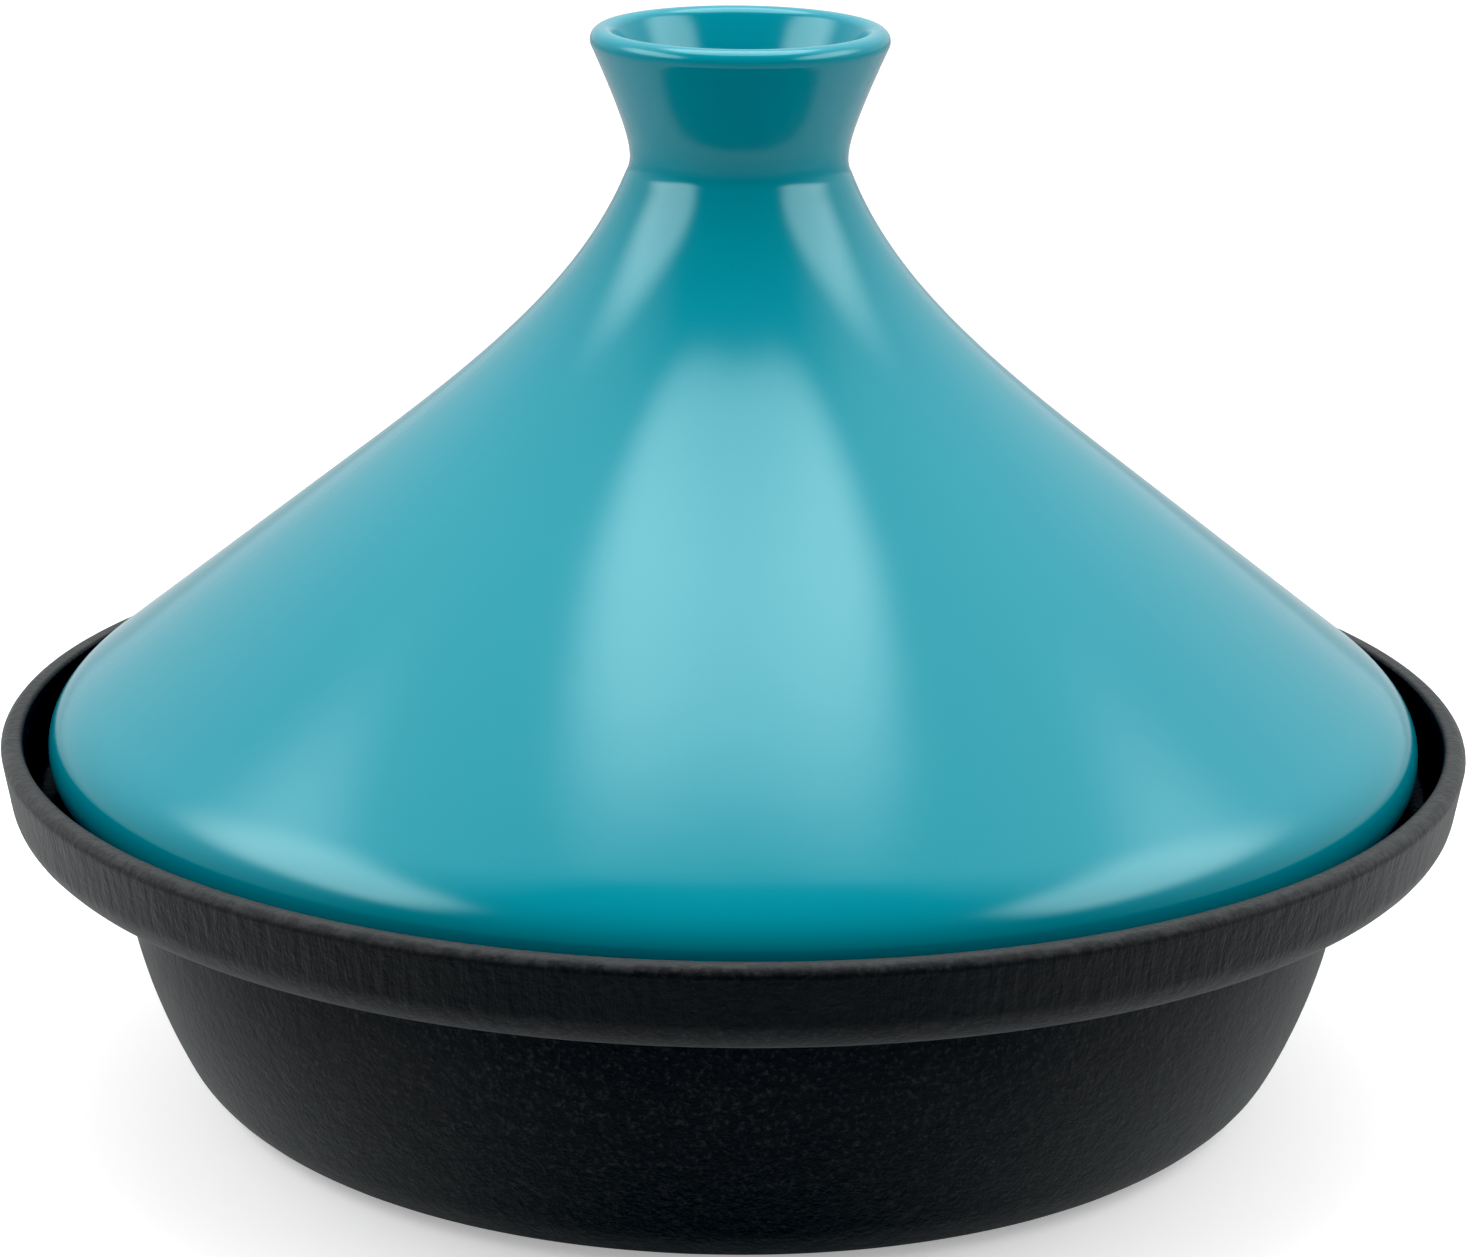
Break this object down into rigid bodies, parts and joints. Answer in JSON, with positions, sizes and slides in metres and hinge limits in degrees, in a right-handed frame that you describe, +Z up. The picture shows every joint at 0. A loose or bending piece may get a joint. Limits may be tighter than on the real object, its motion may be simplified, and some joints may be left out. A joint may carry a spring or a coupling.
{
  "type": "tagine pot",
  "caption": "Round tagine pot: a shallow black cast-iron base with an upstanding collar, and a tall conical teal-glazed stoneware lid with a waisted neck and a hollow knob.",
  "frame": {"origin": "centre of the base's flat underside, on the surface it stands on", "axes": "+Z up, along the common axis of the base and the lid; X and Y are alike, because both pieces are round"},
  "size_m": [0.305, 0.305, 0.2218],
  "materials": {
    "iron": "matte black seasoned cast iron with a fine sand-cast grain, worn a little lighter along the rim",
    "glaze": "glossy teal glaze over stoneware, with a bare clay foot"
  },
  "bodies": {
    "base": {"base": "iron"},
    "lid": {"lid": "glaze"}
  },
  "joints": [
    {"name": "lid_lift", "type": "slide", "parent": "base", "child": "lid", "axis": [0, 0, 1], "range_m": [0, 0.25]}
  ]
}
